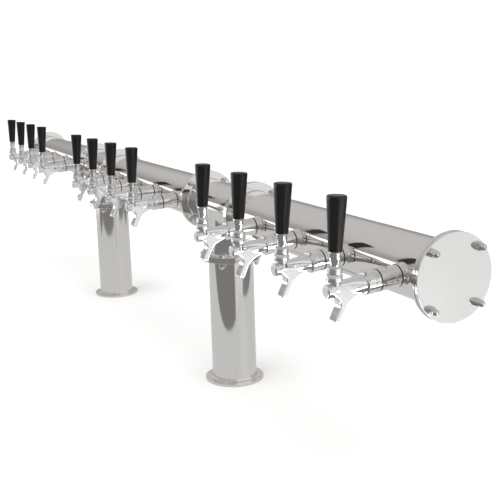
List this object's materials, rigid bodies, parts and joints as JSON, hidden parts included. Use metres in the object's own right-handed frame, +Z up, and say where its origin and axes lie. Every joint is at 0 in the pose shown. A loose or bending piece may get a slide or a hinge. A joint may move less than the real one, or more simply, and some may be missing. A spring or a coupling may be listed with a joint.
{
  "type": "beer tap tower",
  "caption": "Modular beer tap tower: horizontal flanged tube on round flanged columns, with a row of lever faucets.",
  "frame": {"origin": "on the floor plane under the base flanges, at the middle of the whole tower's box", "axes": "+X along the horizontal tube, -Y towards the faucets and the person pouring, +Z up"},
  "size_m": [2.4348, 0.2542, 0.5337],
  "materials": {
    "polished_steel": "mirror-polished stainless tube and flanges",
    "bright_chrome": "bright polished faucet castings and levers",
    "black_plastic": "satin-gloss black knob",
    "inner_steel": "machined plunger",
    "line_jacket": "closed-cell foam jacket"
  },
  "bodies": {
    "tower": {"column_left": "polished_steel", "column_right": "polished_steel", "tee_left": "polished_steel", "tee_right": "polished_steel", "pipe_left": "polished_steel", "pipe_middle": "polished_steel", "pipe_right": "polished_steel", "end_cap_left": "polished_steel", "end_cap_right": "polished_steel", "line_trunk_left": "line_jacket", "line_trunk_right": "line_jacket", "faucet_01": "bright_chrome", "faucet_02": "bright_chrome", "faucet_03": "bright_chrome", "faucet_04": "bright_chrome", "faucet_05": "bright_chrome", "faucet_06": "bright_chrome", "faucet_07": "bright_chrome", "faucet_08": "bright_chrome", "faucet_09": "bright_chrome", "faucet_10": "bright_chrome", "faucet_11": "bright_chrome", "faucet_12": "bright_chrome"},
    "lever_01": {"lever_01": "bright_chrome", "knob_01": "black_plastic"},
    "plunger_01": {"plunger_01": "inner_steel"},
    "lever_02": {"lever_02": "bright_chrome", "knob_02": "black_plastic"},
    "plunger_02": {"plunger_02": "inner_steel"},
    "lever_03": {"lever_03": "bright_chrome", "knob_03": "black_plastic"},
    "plunger_03": {"plunger_03": "inner_steel"},
    "lever_04": {"lever_04": "bright_chrome", "knob_04": "black_plastic"},
    "plunger_04": {"plunger_04": "inner_steel"},
    "lever_05": {"lever_05": "bright_chrome", "knob_05": "black_plastic"},
    "plunger_05": {"plunger_05": "inner_steel"},
    "lever_06": {"lever_06": "bright_chrome", "knob_06": "black_plastic"},
    "plunger_06": {"plunger_06": "inner_steel"},
    "lever_07": {"lever_07": "bright_chrome", "knob_07": "black_plastic"},
    "plunger_07": {"plunger_07": "inner_steel"},
    "lever_08": {"lever_08": "bright_chrome", "knob_08": "black_plastic"},
    "plunger_08": {"plunger_08": "inner_steel"},
    "lever_09": {"lever_09": "bright_chrome", "knob_09": "black_plastic"},
    "plunger_09": {"plunger_09": "inner_steel"},
    "lever_10": {"lever_10": "bright_chrome", "knob_10": "black_plastic"},
    "plunger_10": {"plunger_10": "inner_steel"},
    "lever_11": {"lever_11": "bright_chrome", "knob_11": "black_plastic"},
    "plunger_11": {"plunger_11": "inner_steel"},
    "lever_12": {"lever_12": "bright_chrome", "knob_12": "black_plastic"},
    "plunger_12": {"plunger_12": "inner_steel"}
  },
  "joints": [
    {"name": "lever_hinge_01", "type": "hinge", "parent": "tower", "child": "lever_01", "pos_m": [-1.0806, -0.11064, 0.41231], "axis": [1, 0, 0], "range_deg": [0, 30]},
    {"name": "plunger_slide_01", "type": "slide", "parent": "tower", "child": "plunger_01", "axis": [0, 0.9981, 0.061], "range_m": [0, 0.007]},
    {"name": "lever_hinge_02", "type": "hinge", "parent": "tower", "child": "lever_02", "pos_m": [-0.9246, -0.11064, 0.41231], "axis": [1, 0, 0], "range_deg": [0, 30]},
    {"name": "plunger_slide_02", "type": "slide", "parent": "tower", "child": "plunger_02", "axis": [0, 0.9981, 0.061], "range_m": [0, 0.007]},
    {"name": "lever_hinge_03", "type": "hinge", "parent": "tower", "child": "lever_03", "pos_m": [-0.7686, -0.11064, 0.41231], "axis": [1, 0, 0], "range_deg": [0, 30]},
    {"name": "plunger_slide_03", "type": "slide", "parent": "tower", "child": "plunger_03", "axis": [0, 0.9981, 0.061], "range_m": [0, 0.007]},
    {"name": "lever_hinge_04", "type": "hinge", "parent": "tower", "child": "lever_04", "pos_m": [-0.6126, -0.11064, 0.41231], "axis": [1, 0, 0], "range_deg": [0, 30]},
    {"name": "plunger_slide_04", "type": "slide", "parent": "tower", "child": "plunger_04", "axis": [0, 0.9981, 0.061], "range_m": [0, 0.007]},
    {"name": "lever_hinge_05", "type": "hinge", "parent": "tower", "child": "lever_05", "pos_m": [-0.203, -0.11064, 0.41231], "axis": [1, 0, 0], "range_deg": [0, 30]},
    {"name": "plunger_slide_05", "type": "slide", "parent": "tower", "child": "plunger_05", "axis": [0, 0.9981, 0.061], "range_m": [0, 0.007]},
    {"name": "lever_hinge_06", "type": "hinge", "parent": "tower", "child": "lever_06", "pos_m": [-0.047, -0.11064, 0.41231], "axis": [1, 0, 0], "range_deg": [0, 30]},
    {"name": "plunger_slide_06", "type": "slide", "parent": "tower", "child": "plunger_06", "axis": [0, 0.9981, 0.061], "range_m": [0, 0.007]},
    {"name": "lever_hinge_07", "type": "hinge", "parent": "tower", "child": "lever_07", "pos_m": [0.109, -0.11064, 0.41231], "axis": [1, 0, 0], "range_deg": [0, 30]},
    {"name": "plunger_slide_07", "type": "slide", "parent": "tower", "child": "plunger_07", "axis": [0, 0.9981, 0.061], "range_m": [0, 0.007]},
    {"name": "lever_hinge_08", "type": "hinge", "parent": "tower", "child": "lever_08", "pos_m": [0.265, -0.11064, 0.41231], "axis": [1, 0, 0], "range_deg": [0, 30]},
    {"name": "plunger_slide_08", "type": "slide", "parent": "tower", "child": "plunger_08", "axis": [0, 0.9981, 0.061], "range_m": [0, 0.007]},
    {"name": "lever_hinge_09", "type": "hinge", "parent": "tower", "child": "lever_09", "pos_m": [0.6746, -0.11064, 0.41231], "axis": [1, 0, 0], "range_deg": [0, 30]},
    {"name": "plunger_slide_09", "type": "slide", "parent": "tower", "child": "plunger_09", "axis": [0, 0.9981, 0.061], "range_m": [0, 0.007]},
    {"name": "lever_hinge_10", "type": "hinge", "parent": "tower", "child": "lever_10", "pos_m": [0.8306, -0.11064, 0.41231], "axis": [1, 0, 0], "range_deg": [0, 30]},
    {"name": "plunger_slide_10", "type": "slide", "parent": "tower", "child": "plunger_10", "axis": [0, 0.9981, 0.061], "range_m": [0, 0.007]},
    {"name": "lever_hinge_11", "type": "hinge", "parent": "tower", "child": "lever_11", "pos_m": [0.9866, -0.11064, 0.41231], "axis": [1, 0, 0], "range_deg": [0, 30]},
    {"name": "plunger_slide_11", "type": "slide", "parent": "tower", "child": "plunger_11", "axis": [0, 0.9981, 0.061], "range_m": [0, 0.007]},
    {"name": "lever_hinge_12", "type": "hinge", "parent": "tower", "child": "lever_12", "pos_m": [1.1426, -0.11064, 0.41231], "axis": [1, 0, 0], "range_deg": [0, 30]},
    {"name": "plunger_slide_12", "type": "slide", "parent": "tower", "child": "plunger_12", "axis": [0, 0.9981, 0.061], "range_m": [0, 0.007]}
  ],
  "couplings": [
    {"joint": "plunger_slide_01", "follows": "lever_hinge_01", "m_per_rad": 0.0132},
    {"joint": "plunger_slide_02", "follows": "lever_hinge_02", "m_per_rad": 0.0132},
    {"joint": "plunger_slide_03", "follows": "lever_hinge_03", "m_per_rad": 0.0132},
    {"joint": "plunger_slide_04", "follows": "lever_hinge_04", "m_per_rad": 0.0132},
    {"joint": "plunger_slide_05", "follows": "lever_hinge_05", "m_per_rad": 0.0132},
    {"joint": "plunger_slide_06", "follows": "lever_hinge_06", "m_per_rad": 0.0132},
    {"joint": "plunger_slide_07", "follows": "lever_hinge_07", "m_per_rad": 0.0132},
    {"joint": "plunger_slide_08", "follows": "lever_hinge_08", "m_per_rad": 0.0132},
    {"joint": "plunger_slide_09", "follows": "lever_hinge_09", "m_per_rad": 0.0132},
    {"joint": "plunger_slide_10", "follows": "lever_hinge_10", "m_per_rad": 0.0132},
    {"joint": "plunger_slide_11", "follows": "lever_hinge_11", "m_per_rad": 0.0132},
    {"joint": "plunger_slide_12", "follows": "lever_hinge_12", "m_per_rad": 0.0132}
  ]
}
